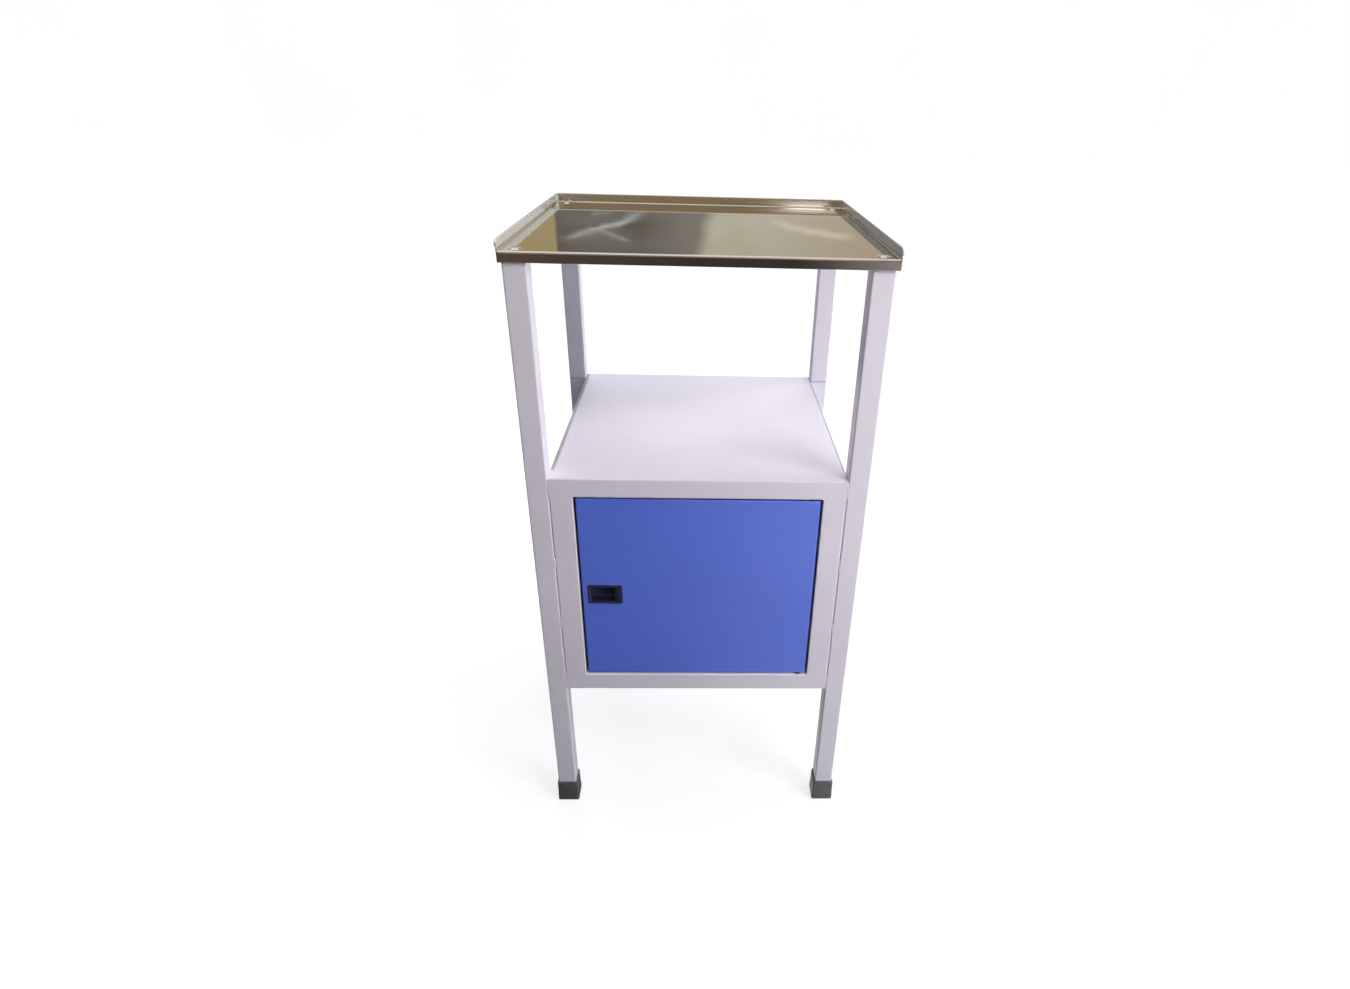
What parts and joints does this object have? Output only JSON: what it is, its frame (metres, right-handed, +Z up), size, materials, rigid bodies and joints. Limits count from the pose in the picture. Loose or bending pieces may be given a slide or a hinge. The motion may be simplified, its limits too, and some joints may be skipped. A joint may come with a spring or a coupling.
{
  "type": "bedside cabinet",
  "caption": "Hospital bedside locker: a rimmed stainless tray on square-tube legs over an open compartment and a steel cabinet with one inset blue door on concealed pivots.",
  "frame": {"origin": "centre of the footprint, on the floor under the shoes", "axes": "+Z up; the front, with the door, faces -Y; +X is to the right as seen from the front"},
  "size_m": [0.408, 0.408, 0.775],
  "materials": {
    "painted_steel": "off-white powder coat with a slight lilac tint, semi-gloss",
    "blue_steel": "mid-blue powder coat, semi-gloss",
    "stainless": "polished stainless sheet, faintly scuffed",
    "screw_steel": "bright plated steel",
    "zinc_steel": "dull zinc plate",
    "shoe_pvc": "matt dark grey PVC",
    "buffer_rubber": "matt black rubber",
    "black_plastic": "fine-textured black ABS",
    "nylon": "natural white nylon",
    "black_nylon": "black nylon",
    "ferrite": "dull grey ferrite"
  },
  "bodies": {
    "locker": {"leg_front_left": "painted_steel", "leg_front_right": "painted_steel", "leg_rear_left": "painted_steel", "leg_rear_right": "painted_steel", "leg_plate_front_left": "zinc_steel", "leg_plate_front_right": "zinc_steel", "leg_plate_rear_left": "zinc_steel", "leg_plate_rear_right": "zinc_steel", "shoe_front_left": "shoe_pvc", "shoe_front_right": "shoe_pvc", "shoe_rear_left": "shoe_pvc", "shoe_rear_right": "shoe_pvc", "bearer_front": "painted_steel", "bearer_rear": "painted_steel", "bearer_left": "painted_steel", "bearer_right": "painted_steel", "tray_top": "stainless", "tray_screws": "screw_steel", "shelf_panel": "painted_steel", "floor_panel": "painted_steel", "side_panel_left": "painted_steel", "side_panel_right": "painted_steel", "back_panel": "painted_steel", "pivot_pad_upper": "painted_steel", "pivot_pad_lower": "painted_steel", "pivot_bush_upper": "black_nylon", "pivot_bush_lower": "black_nylon", "door_stop_strip": "painted_steel", "door_buffers": "buffer_rubber", "catch_housing": "nylon", "catch_magnet": "ferrite", "catch_pole_plates": "zinc_steel", "catch_screws": "screw_steel"},
    "door": {"door_skin": "blue_steel", "door_stiffener": "blue_steel", "door_bracket_upper": "zinc_steel", "door_bracket_lower": "zinc_steel", "pivot_pin_upper": "screw_steel", "pivot_pin_lower": "screw_steel", "pull_housing": "black_plastic", "pull_clips": "zinc_steel"}
  },
  "joints": [
    {"name": "door_swing", "type": "hinge", "parent": "locker", "child": "door", "pos_m": [0.135, -0.194, 0.363], "axis": [0, 0, 1], "range_deg": [0, 110]}
  ]
}
